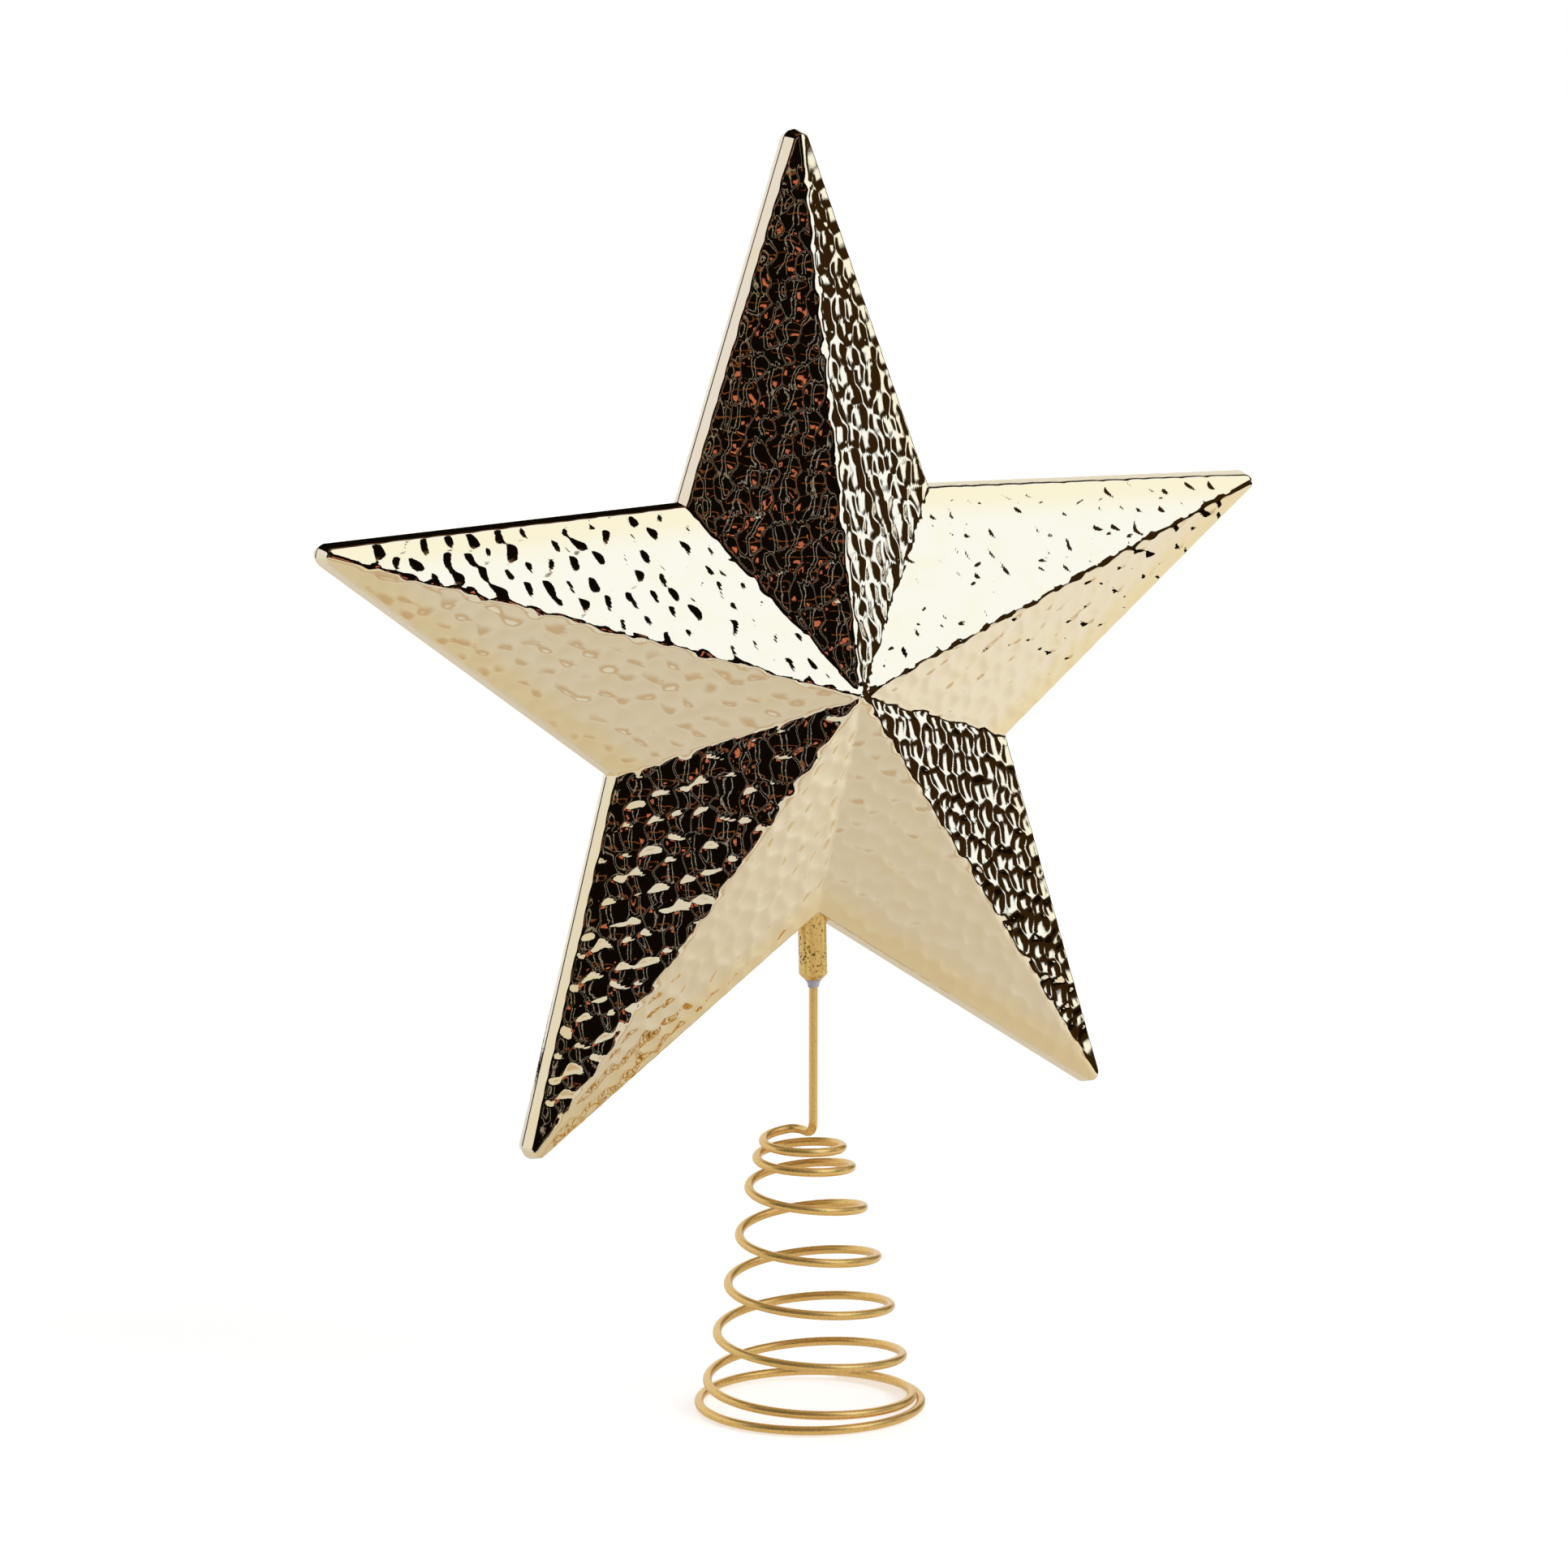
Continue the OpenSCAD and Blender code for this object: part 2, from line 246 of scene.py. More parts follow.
def arm_edge(star):
    """(tip, valley, angle between the arm and the direction square to its edge, distance of the edge from the centre)
    of half an arm, in the arm's own axes."""
    tip = np.array([star.tip_radius, 0.0])
    valley = star.valley_radius * np.array([np.cos(ARM_STEP / 2), np.sin(ARM_STEP / 2)])
    run = valley - tip
    edge_angle = np.arctan2(-run[0], run[1])
    return tip, valley, edge_angle, tip[0] * np.cos(edge_angle)


def arm_outline(share, inset, star):
    """Half the outline of an arm, in the arm's own axes. Share 0 is the middle of the rounded end: first an arc about
    the corner's centre, whose radius is the rounding less the inset, then a straight edge to the valley at share 1."""
    tip, valley, edge_angle, distance = arm_edge(star)
    grown = (distance + star.rim_draft - inset) / distance
    seam_tip = tip[0] * (distance + star.rim_draft) / distance
    centre = seam_tip - star.tip_round / np.cos(edge_angle)
    turn = edge_angle * np.clip(share / END_SHARE, 0.0, 1.0)
    radius = star.tip_round - inset
    along = np.clip((share - END_SHARE) / (1 - END_SHARE), 0.0, 1.0)
    x = centre + radius * np.cos(turn)
    y = radius * np.sin(turn)
    return np.stack([x + (valley[0] * grown - x) * along, y + (valley[1] * grown - y) * along], axis=-1)


def facet_axes(star, arm, side):
    """(direction square to the facet's edge, direction along the edge, distance of the edge from the centre)."""
    _, _, edge_angle, distance = arm_edge(star)
    a = np.pi / 2 + arm * ARM_STEP + side * edge_angle
    return np.array([np.cos(a), np.sin(a)]), np.array([-np.sin(a), np.cos(a)]), distance


def waves(u, v, lengths, rng):
    """Sum of one cosine wave of each length, in random directions, scaled so that its spread is 1."""
    total = np.zeros_like(u)
    for wave_length in lengths:
        direction, phase = rng.uniform(0.0, 2 * np.pi, 2)
        along = u * np.cos(direction) + v * np.sin(direction)
        total += np.cos(2 * np.pi * along / wave_length + phase)
    return total * np.sqrt(2 / len(lengths))


def dent_depth(u, v, dents, seed):
    """Depth of the hammered bowls at points of a facet. Bowls stand on staggered rows, stray by a share of the spacing
    and are pushed out of round by long waves. Each is depth - distance² / (2 radius). The depth is the soft maximum of
    the bowls near a point and of nothing, plus a fine ripple."""
    rng = np.random.default_rng(seed)
    stray = rng.uniform(-1.0, 1.0, (4, STRAYS, STRAYS))
    warp_u, warp_v = (dents.warp * waves(u, v, LONG_WAVES * dents.spacing, rng) for _ in range(2))
    ripple = dents.ripple * waves(u, v, SHORT_WAVES * dents.spacing, rng)
    u, v = u + warp_u, v + warp_v
    row_step = dents.spacing * np.sqrt(3) / 2
    row = np.floor(v / row_step).astype(int)
    total = np.ones_like(u)
    for row_away in range(-2, 3):
        r = row + row_away
        shift = 0.5 * (r % 2)
        column = np.floor(u / dents.spacing - shift).astype(int)
        for column_away in range(-1, 3):
            c = column + column_away
            pick = stray[:, r % STRAYS, c % STRAYS]
            middle_u = (c + shift + dents.scatter * pick[0]) * dents.spacing
            middle_v = (r + dents.scatter * pick[1]) * row_step
            depth = dents.depth * (1.0 + DENT_SPREAD * pick[2])
            bowl = dents.bowl * (1.0 + DENT_SPREAD * pick[3])
            rise = ((u - middle_u) ** 2 + (v - middle_v) ** 2) / (2 * bowl)
            total += np.exp(np.clip((depth - rise) / dents.blend, -40.0, 40.0))
    return dents.blend * np.log(total) + ripple


def facet_height(points, arm, side, star, dents, seed):
    """Height of a dented facet over the seam: a plane that falls from the centre point to the rim, less the dents,
    which fade out near the arm's end, the rim and the notch."""
    square, along, distance = facet_axes(star, arm, side)
    slope = np.arctan2(star.facet_rise, distance)
    out = points @ square
    plain = star.rim_depth + star.facet_rise * (1 - out / distance)
    deep = dent_depth(points @ along, out / np.cos(slope), dents, seed + 10 * arm + side)
    arms = np.pi / 2 + ARM_STEP * np.arange(ARMS)
    ends = (star.tip_radius - END_INSET) * np.stack([np.cos(arms), np.sin(arms)], axis=-1)
    to_end = np.linalg.norm(points[:, None, :] - ends[None], axis=-1).min(axis=1)
    to_notch = np.linalg.norm(points - [0.0, -star.valley_radius], axis=-1)
    fade = smoothstep(END_FADE[0] * dents.smooth_tip, END_FADE[1] * dents.smooth_tip, to_end)
    fade *= dents.at_rim + (1 - dents.at_rim) * smoothstep(*RIM_FADE, np.abs(distance - out))
    fade *= smoothstep(*NOTCH_FADE, to_notch)
    return plain - deep * fade


def star_height(points, arm, side, star, dents, seed):
    """Height of the star over the seam, in one facet's part of the plane: the lower of the arm's two facets, and the
    higher of that and the facet across the groove, both softened. Each facet has its own dents, so the ridges and
    the grooves wander."""
    own = facet_height(points, arm, side, star, dents, seed)
    over_ridge = facet_height(points, arm, -side, star, dents, seed)
    over_groove = facet_height(points, (arm + side) % ARMS, -side, star, dents, seed)
    return soft_max(soft_min(own, over_ridge, dents.ridge), over_groove, dents.groove)


def facet_grid(rows):
    """(row share, edge share, triangles) of a triangular grid: row i holds i + 1 points, spread over the edge share."""
    row = np.repeat(np.arange(rows + 1), np.arange(1, rows + 2))
    spot = np.arange(row.size) - row * (row + 1) // 2
    first = np.flatnonzero(row < rows)
    below = first + row[first] + 1
    inner = np.flatnonzero((row < rows) & (spot < row))
    under = inner + row[inner] + 2
    triangles = np.concatenate(
        [np.stack([first, below, below + 1], axis=1), np.stack([inner, under, inner + 1], axis=1)]
    )
    return row / rows, spot / np.maximum(row, 1), triangles


def strip_triangles(rows_of_points):
    """Triangles between each row of point numbers and the next, which lies further out along the profile."""
    a, d = rows_of_points[:-1, :-1].ravel(), rows_of_points[:-1, 1:].ravel()
    b, c = rows_of_points[1:, :-1].ravel(), rows_of_points[1:, 1:].ravel()
    return np.concatenate([np.stack([a, b, c], axis=1), np.stack([a, c, d], axis=1)])


def rim_profile(edge_height, fall, star):
    """Rows of (inset, height) from a facet's edge to the seam: a parabola round the corner, the drafted rim, which is
    straight, and a bevel to the bottom of the groove."""
    draft = star.rim_draft / star.rim_depth
    skin_inset = star.rim_draft + star.rim_round
    corner = edge_height - star.rim_round * fall
    below = corner - 1.2 * star.rim_round
    rows = [
        (parabola(skin_inset, draft * corner, draft * below, t), parabola(edge_height, corner, below, t))
        for t in np.arange(1, 5) / 4
    ]
    for t in np.arange(1, 4) / 3:
        level = below + (star.seam_bevel - below) * t
        rows.append((draft * level, level))
    rows.append((np.full_like(below, star.seam_depth), np.zeros_like(below)))
    return rows


def shell_facet(arm, side, star, dents, socket, seed):
    """One facet of a half shell with its share of the rim, the seam and the inside. Returns (plan points, heights,
    levels, warm share, triangles). The facet is a triangular grid of scaled outlines. From its edge the profile goes
    down the rim to the seam, in by the wall and up to the plain inside, which closes on a point. Where the socket
    passes, the rim ends on its cylinder."""
    row, share, triangles = facet_grid(star.rows)
    turn = np.pi / 2 + arm * ARM_STEP
    across = np.array([[np.cos(turn), np.sin(turn)], [-side * np.sin(turn), side * np.cos(turn)]])
    plan = row[:, None] * arm_outline(share, star.rim_draft + star.rim_round, star) @ across
    height = star_height(plan, arm, side, star, dents, seed)
    edge = np.flatnonzero(row == 1.0)
    square, _, distance = facet_axes(star, arm, side)
    fall = star.facet_rise / distance
    wall_height = star.wall / np.cos(np.arctan(fall))
    channel = socket.diameter / 2 + socket.gap
    plans, heights, numbers = [plan], [height], [edge]

    def outline(inset):
        """The facet's edge, moved inwards by an inset."""
        return arm_outline(share[edge], inset, star) @ across

    def over_socket(points, low):
        """Heights raised to the socket's cylinder where it passes."""
        room = np.sqrt(np.maximum(channel**2 - points[:, 0] ** 2, 0.0))
        return np.where(points[:, 1] < 0, np.maximum(low, room), low)

    def add_row(points, level):
        """One more row of the profile, whose point numbers follow those before it."""
        numbers.append(np.arange(edge.size) + sum(p.shape[0] for p in plans))
        plans.append(points)
        heights.append(level)

    for inset, level in rim_profile(height[edge], fall, star):
        low = over_socket(outline(inset), level)
        inset = np.where(low > level, star.rim_draft * low / star.rim_depth, inset)
        add_row(outline(inset), low)
    inside = outline(np.full(edge.size, star.wall))
    inside_height = star.rim_depth + star.facet_rise * (1 - inside @ square / distance) - wall_height
    add_row(inside, over_socket(inside, np.zeros(edge.size)))
    add_row(inside, over_socket(inside, inside_height))
    closing = np.full(edge.size, sum(p.shape[0] for p in plans))
    plans.append(np.zeros((1, 2)))
    heights.append(np.array([star.rim_depth + star.facet_rise - wall_height]))
    fan = np.stack([numbers[-1][:-1], closing[1:], numbers[-1][1:]], axis=1)
    triangles = np.concatenate([triangles, strip_triangles(np.array(numbers)), fan])
    levels = np.repeat(np.arange(len(plans)), [p.shape[0] for p in plans])
    warm = np.zeros(levels.size)
    # Warm share towards the facet's edge: a painted golden reflection
    warm[: row.size] = smoothstep(*RIM_REFLECTION_BAND, row)
    if side < 0:
        triangles = triangles[:, ::-1]
    return np.concatenate(plans), np.concatenate(heights), levels, warm, triangles


def half_star(star, dents, socket, seed):
    """(plan points, heights, warm share, triangles) of a half shell: ten facets, joined where they share a line."""
    facets = [shell_facet(arm, side, star, dents, socket, seed) for arm in range(ARMS) for side in (1, -1)]
    starts = np.cumsum([0] + [f[0].shape[0] for f in facets[:-1]])
    plan, height, level, warm = (np.concatenate([f[part] for f in facets]) for part in range(4))
    triangles = np.concatenate([f[4] + s for f, s in zip(facets, starts)])
    key = np.column_stack([np.round(plan * 1e7), level]).astype(np.int64)
    _, first, same = np.unique(key, axis=0, return_index=True, return_inverse=True)
    same = same.ravel()
    shared = np.bincount(same)
    triangles = same[triangles]
    whole = (np.diff(np.sort(triangles, axis=1), axis=1) > 0).all(axis=1)
    return plan[first], np.bincount(same, height) / shared, np.bincount(same, warm) / shared, triangles[whole]


def mouth_level(settings):
    """Height of the socket's mouth."""
    return settings.star.height - settings.star.valley_radius - settings.socket.drop


def star_place(points, settings):
    """Points from the star's own frame, about its centre, to their place: tilted about the mouth of the socket."""
    star, wire = settings.star, settings.wire
    lever = star.valley_radius + settings.socket.drop
    x, z = points[:, 0], points[:, 2] + lever
    c, s = np.cos(star.tilt), np.sin(star.tilt)
    return np.stack([x * c - z * s + wire.stem_offset, points[:, 1], x * s + z * c + mouth_level(settings)], axis=1)


def turned_profile(profile, segments):
    """(points, triangles) of a closed profile of (radius, height), turned about Z."""
    around = 2 * np.pi * np.arange(segments) / segments
    radius, height = profile[:, 0], profile[:, 1]
    x = radius[:, None] * np.cos(around)
    y = radius[:, None] * np.sin(around)
    points = np.stack([x, y, np.broadcast_to(height[:, None], x.shape)], axis=-1).reshape(-1, 3)
    numbers = np.arange(points.shape[0]).reshape(len(profile), segments)
    numbers = np.column_stack([numbers, numbers[:, :1]])
    return points, strip_triangles(np.concatenate([numbers, numbers[:1]]))[:, ::-1]


def rounded_profile(corners, radius, steps=5):
    """A closed profile whose corners are replaced with parabolas that start a radius away from each corner."""
    corners = np.asarray(corners, dtype=float)
    before, after = np.roll(corners, 1, axis=0) - corners, np.roll(corners, -1, axis=0) - corners
    long_before, long_after = (np.linalg.norm(v, axis=1, keepdims=True) for v in (before, after))
    start = corners + before / long_before * np.minimum(radius, 0.45 * long_before)
    end = corners + after / long_after * np.minimum(radius, 0.45 * long_after)
    t = np.linspace(0.0, 1.0, steps)[None, :, None]
    return parabola(start[:, None], corners[:, None], end[:, None], t).reshape(-1, 2)


def ramped(turn, start, end):
    """Sum of a rise that ramps from 0 to 1 between two turns."""
    ramp = (turn - start) ** 2 / (2 * (end - start))
    return np.where(turn < start, 0.0, np.where(turn < end, ramp, turn - (start + end) / 2))


def turn_height(turn, wire):
    """Height of the wire's middle: its radius, plus the open pitch, less what the closing turns save."""
    opened = wire.open_pitch * ramped(turn, *OPENING)
    closed = (wire.open_pitch - wire.top_pitch) * ramped(turn, wire.turns - CLOSING[0], wire.turns - CLOSING[1])
    return wire.diameter / 2 + opened - closed


def coil_points(turn, wire):
    """Middle of the wire along the spring: a left-hand helix whose radius lags behind a straight cone at both ends by a
    sine wave, with the cut end flared out by a square, and which leans more the higher it gets."""
    share = turn / wire.turns
    lagged = share - CONE_LAG * np.sin(2 * np.pi * share) / (2 * np.pi)
    radius = wire.base_radius + (wire.top_radius - wire.base_radius) * lagged
    radius = radius + wire.seat_flare * np.maximum(0.0, 1 - turn) ** 2
    around = wire.cut_angle - 2 * np.pi * turn
    x, z = radius * np.cos(around), turn_height(turn, wire)
    lean = wire.lean * (z - wire.diameter / 2) / turn_height(np.float64(wire.turns), wire)
    return np.stack(
        [x * np.cos(lean) - z * np.sin(lean), radius * np.sin(around), x * np.sin(lean) + z * np.cos(lean)], axis=-1
    )


def wire_centres(turns_from, turns_to, wire, with_bends):
    """(middles, tangents, directions across) of a length of the spring. With bends, the last turn runs on into the
    hook and up the elbow to the stem's foot, each of them a parabola."""
    turn = np.linspace(turns_from, turns_to, int(np.ceil((turns_to - turns_from) * TURN_STEPS)) + 1)
    step = 1e-4
    middles = coil_points(turn, wire)
    tangents = unit(coil_points(turn + step, wire) - coil_points(turn - step, wire))
    across = unit(np.cross(tangents, UP))
    if not with_bends:
        return middles, tangents, across
    coil_end, turns = middles[-1], len(middles)
    hook_corner = coil_end + wire.hook_run * tangents[-1]
    elbow_corner = np.array([wire.stem_offset, 0.0, coil_end[2]])
    hook_middle = (hook_corner + elbow_corner) / 2
    stem_foot = elbow_corner + wire.elbow_rise * UP
    t = (np.arange(1, BEND_STEPS + 1) / BEND_STEPS)[:, None]
    hook = parabola(coil_end, hook_corner, hook_middle, t)
    elbow = parabola(hook_middle, elbow_corner, stem_foot, t)
    path = np.concatenate([middles, hook, elbow])
    slopes = unit(np.gradient(path, axis=0))
    slopes[:turns] = tangents
    slopes[-1] = UP
    sideways = unit(np.cross(elbow_corner - hook_corner, UP))
    hook_across = unit(np.cross(slopes[turns : turns + BEND_STEPS], UP))
    return path, slopes, np.concatenate([across, hook_across, np.tile(sideways, (BEND_STEPS, 1))])


def wire_tube(middles, tangents, across, radius, sides):
    """(points, triangles) of a round tube: rings of the radius about each middle, and a fan over each end."""
    upward = np.cross(across, tangents)
    around = 2 * np.pi * np.arange(sides) / sides
    ring = across[:, None] * np.cos(around)[None, :, None] + upward[:, None] * np.sin(around)[None, :, None]
    points = (middles[:, None] + radius[:, None, None] * ring).reshape(-1, 3)
    numbers = np.arange(points.shape[0]).reshape(len(middles), sides)
    wrapped = np.column_stack([numbers, numbers[:, :1]])
    first, last = points.shape[0], points.shape[0] + 1
    start_fan = np.stack([wrapped[0, :-1], wrapped[0, 1:], np.full(sides, first)], axis=1)
    end_fan = np.stack([wrapped[-1, 1:], wrapped[-1, :-1], np.full(sides, last)], axis=1)
    points = np.concatenate([points, middles[:1], middles[-1:]])
    return points, np.concatenate([strip_triangles(wrapped), start_fan, end_fan])[:, ::-1]


# What the room shows to a reflection. Each row is a name, the azimuth from the front towards +X and the elevation, both
# as low and high in degrees, the width of the soft edge in degrees, and the colour. A row covers the rows before it.
LAMP, WARM_LAMP = (1.11, 1.31, 1.77), (0.60, 0.19, 0.12)
LIT_EDGE, WARM_EDGE = (0.36, 0.36, 0.40), (0.26, 0.10, 0.05)
ROOM = (
    ("ceiling", -180.0, 180.0, 58.0, 120.0, 6.0, (0.12, 0.06, 0.03)),
    ("brown wall", 42.0, 128.0, -40.0, 60.0, 1.0, (0.034, 0.018, 0.006)),
    ("backdrop", 128.0, 262.0, -15.0, 35.0, 3.0, (0.90, 0.94, 1.0)),
    ("upper backdrop", 215.0, 262.0, 14.0, 35.0, 3.0, (0.92, 0.98, 1.22)),
    ("softbox", 12.0, 40.0, 1.0, 64.0, 1.0, LAMP),
    ("overhead softbox", 12.0, 66.0, 22.0, 66.0, 1.0, LAMP),
    ("side light", 76.5, 89.5, -4.5, 15.5, 4.0, LAMP),
    ("warm lamp above", -44.0, -36.0, 22.0, 27.0, 1.0, WARM_LAMP),
    ("warm lamp at the camera", -6.0, -2.0, -2.0, 10.0, 1.0, WARM_LAMP),
    ("warm lamp at the left", -56.0, -51.0, 6.0, 15.0, 1.0, WARM_LAMP),
    ("warm lamp below", -20.0, -12.0, -9.0, -5.0, 1.0, WARM_LAMP),
    ("stand's left edge", -32.0, -30.7, -7.0, 34.0, 0.6, LIT_EDGE),
    ("stand's right edge", -24.0, -22.7, -7.0, 34.0, 0.6, LIT_EDGE),
    ("warm shelf edge", -54.0, -12.0, 14.0, 15.2, 0.6, WARM_EDGE),
)
# What the floor shows: how far the near colour of the table, darker with the star's painted shadow, reaches, where it
# starts to pale at the right, over which width and by how much, and the runner's front edge, middle and back edge,
# with its strength
TABLE_REACH = 0.34
PALE_FROM, PALE_WIDTH, PALE_GAIN = 0.03, 0.25, 0.15
RUNNER_LINES, RUNNER_SHARE = (-0.38, -0.27, -0.16), 0.6
# Half the width of the floor, and its level just under the wire
FLOOR_EDGE, FLOOR_LEVEL = 4.0, -0.0003
# Light of its own that the camera sees on the floor: near the object, and the distances over which it rises to 1
GLOW_NEAR, GLOW_RISE = 0.52, (0.35, 1.3)


def toward(azimuth, elevation):
    """Directions by azimuth from the front towards +X and elevation, in degrees."""
    a, e = np.radians(azimuth), np.radians(elevation)
    return np.stack([np.cos(e) * np.sin(a), -np.cos(e) * np.cos(a), np.sin(e)], axis=-1)


def room_paint(azimuth, elevation, dark):
    """Colour of the room by azimuth and elevation. A patch's share is smoothstep of the distance inside its nearest
    edge over the width of its soft edge."""
    paint = np.tile(np.array(dark), (azimuth.size, 1))
    for _, left, right, low, high, soft, patch in ROOM:
        aside = np.abs((azimuth - (left + right) / 2 + 180.0) % 360.0 - 180.0)
        inside = np.minimum((right - left) / 2 - aside, (high - low) / 2 - np.abs(elevation - (low + high) / 2))
        paint += (np.array(patch) - paint) * smoothstep(-soft / 2, soft / 2, inside)[:, None]
    return paint


def floor_paint(x, y, edge, stage):
    """Colour of the floor to a reflection: a table, whose near colour, darker with the star's painted shadow, turns
    into the far one with the distance, which is paler at the right and has a soft runner across its front, and a dark
    room past its edges."""
    out = np.clip(np.hypot(x, y) / TABLE_REACH, 0.0, 1.0)[:, None]
    # The near colour holds the star's painted shadow on the table
    table = np.array(stage.table_in_star_shadow) * (1 - out) + np.array(stage.table_far) * out
    table += PALE_GAIN * np.clip((x - PALE_FROM) / PALE_WIDTH, 0.0, 1.0)[:, None]
    front, middle, back = RUNNER_LINES
    runner = (smoothstep(front, middle, y) - smoothstep(middle, back, y))[:, None]
    table += RUNNER_SHARE * (np.array(stage.runner) - table) * runner
    left, right, near, far = stage.table
    on_table = (x > left - edge / 2) & (x < right + edge / 2) & (y > near - edge / 2) & (y < far + edge / 2)
    return np.where(on_table[:, None], table, 1.5 * np.array(stage.dark))


def mesh_piece(name, points, triangles, material, sharp_degrees=40.0):
    """A mesh object at the origin, from arrays of points and triangles, smooth apart from its sharp edges."""
    mesh = bpy.data.meshes.new(name)
    mesh.vertices.add(len(points))
    mesh.vertices.foreach_set("co", np.ascontiguousarray(points, dtype=np.float32).ravel())
    mesh.loops.add(triangles.size)
    mesh.loops.foreach_set("vertex_index", np.ascontiguousarray(triangles, dtype=np.int32).ravel())
    mesh.polygons.add(len(triangles))
    mesh.polygons.foreach_set("loop_start", np.arange(0, triangles.size, 3, dtype=np.int32))
    mesh.update(calc_edges=True)
    if mesh.validate():
        raise ValueError(f"{name} has faces that don't hold")
    mesh.polygons.foreach_set("use_smooth", np.ones(len(triangles), dtype=bool))
    mesh.set_sharp_from_angle(angle=np.radians(sharp_degrees))
    piece = bpy.data.objects.new(name, mesh)
    bpy.context.scene.collection.objects.link(piece)
    mesh.materials.append(material)
    return piece


def give_attribute(piece, name, values):
    """Puts a number on each point of a piece."""
    share = piece.data.attributes.new(name, "FLOAT", "POINT")
    share.data.foreach_set("value", values.astype(np.float32))


# Finishes


class FinishNodes:
    """The emptied nodes of a material or world, with short ways to add to them."""

    def __init__(self, holder):
        holder.use_nodes = True
        self.tree = holder.node_tree
        self.tree.nodes.clear()

    def put(self, socket, value):
        """Sets an input to a value, or joins it to an output."""
        if isinstance(value, bpy.types.NodeSocket):
            self.tree.links.new(value, socket)
        else:
            socket.default_value = value

    def add(self, kind, inputs, **settings):
        """A node of a kind, with its settings, and its inputs by name or number."""
        node = self.tree.nodes.new("ShaderNode" + kind)
        for name, value in settings.items():
            setattr(node, name, value)
        for name, value in inputs.items():
            self.put(node.inputs[name], value)
        return node

    def math(self, operation, first, second):
        """One number out of two."""
        return self.add("Math", {0: first, 1: second}, operation=operation).outputs[0]

    def attribute(self, name, output="Fac"):
        """A number or colour that is kept on the mesh."""
        return self.add("Attribute", {}, attribute_name=name).outputs[output]

    def noise(self, scale, detail=3.0, stretch=(1.0, 1.0, 1.0)):
        """Noise over the object's own coordinates."""
        spot = self.add("TexCoord", {}).outputs["Object"]
        drawn = self.add("Mapping", {"Vector": spot, "Scale": stretch}).outputs["Vector"]
        return self.add("TexNoise", {"Vector": drawn, "Scale": scale, "Detail": detail}).outputs["Fac"]

    def ranged(self, value, low, high, to_low, to_high):
        """Maps a value from the range of low and high to another range, clamped."""
        inputs = {"Value": value, "From Min": low, "From Max": high, "To Min": to_low, "To Max": to_high}
        return self.add("MapRange", inputs).outputs["Result"]

    def mixed(self, factor, first, second):
        """A colour between two colours."""
        node = self.add("Mix", {"Factor": factor}, data_type="RGBA")
        for name, value in (("A", first), ("B", second)):
            self.put(next(s for s in node.inputs if s.name == name and s.type == "RGBA"), (*value, 1.0))
        return next(s for s in node.outputs if s.type == "RGBA")

    def bumped(self, height, strength, distance):
        """A bump of the surface, too fine to model."""
        return self.add("Bump", {"Height": height, "Strength": strength, "Distance": distance}).outputs["Normal"]

    def shine(self, strength, colour_seen=(1.0, 1.0, 1.0, 1.0)):
        """Light given off by a surface."""
        return self.add("Emission", {"Color": colour_seen, "Strength": strength}).outputs["Emission"]

    def finish(self, surface, kind="OutputMaterial"):
        """Shows a shader on the surface."""
        self.add(kind, {"Surface": surface})


def new_finish(name):
    """(material, nodes) of a new material."""
    material = bpy.data.materials.new(name)
    return material, FinishNodes(material)


def metal_or_resin(nodes, inputs):
    """Ends a finish in a principled shader with these inputs."""
    nodes.finish(nodes.add("BsdfPrincipled", inputs).outputs["BSDF"])


def plating_finish(finishes):
    """Vacuum plating over the hammered shells: mirror metal, warmer in slow clouds and towards the rim, where the
    warmth is a painted golden reflection, slightly duller in places, and an orange-peel ripple too fine to model."""
    material, nodes = new_finish("hammered_plating")
    clouds = nodes.ranged(nodes.noise(130.0), 0.50, 0.72, 0.0, 0.4)
    # Warm clouds in the plating, and a painted golden reflection towards the rim
    warm = nodes.math("MAXIMUM", clouds, nodes.attribute("warm"))
    metal_or_resin(nodes, {
        "Base Color": nodes.mixed(warm, finishes.plating, finishes.warm_tone_and_reflection),
        "Metallic": 1.0,
        "Roughness": nodes.ranged(nodes.noise(420.0), 0.3, 0.75, 0.02, 0.05),
        "Normal": nodes.bumped(nodes.noise(1100.0, 2.0), 0.05, 0.0002),
    })
    return material


def socket_finish(finishes):
    """Cast and plated socket: saturated gold with dark pits and a drawn grain along it."""
    material, nodes = new_finish("cast_gold")
    pits = nodes.ranged(nodes.noise(1500.0), 0.53, 0.62, 0.0, 1.0)
    areas = nodes.ranged(nodes.noise(210.0, 2.0), 0.38, 0.56, 0.0, 1.0)
    pitted = nodes.math("MULTIPLY", pits, areas)
    grain = nodes.noise(900.0, stretch=(1.0, 1.0, 0.12))
    metal_or_resin(nodes, {
        "Base Color": nodes.mixed(pitted, finishes.socket, finishes.socket_pit),
        "Metallic": 1.0,
        "Roughness": nodes.ranged(grain, 0.3, 0.7, 0.10, 0.24),
        "Normal": nodes.bumped(pitted, -0.8, 0.0002),
    })
    return material


def paint_finish(finishes):
    """Satin gold paint on the wire: fine flake grain, darker worn specks, soft sheen."""
    material, nodes = new_finish("satin_paint")
    flakes = nodes.noise(2600.0)
    specks = nodes.ranged(nodes.noise(1900.0, 4.0), 0.50, 0.75, 0.0, 0.8)
    metal_or_resin(nodes, {
        "Base Color": nodes.mixed(specks, finishes.paint, finishes.paint_dark),
        "Metallic": 0.72,
        "Roughness": nodes.ranged(flakes, 0.25, 0.75, 0.25, 0.36),
        "Normal": nodes.bumped(flakes, 0.08, 0.0001),
    })
    return material


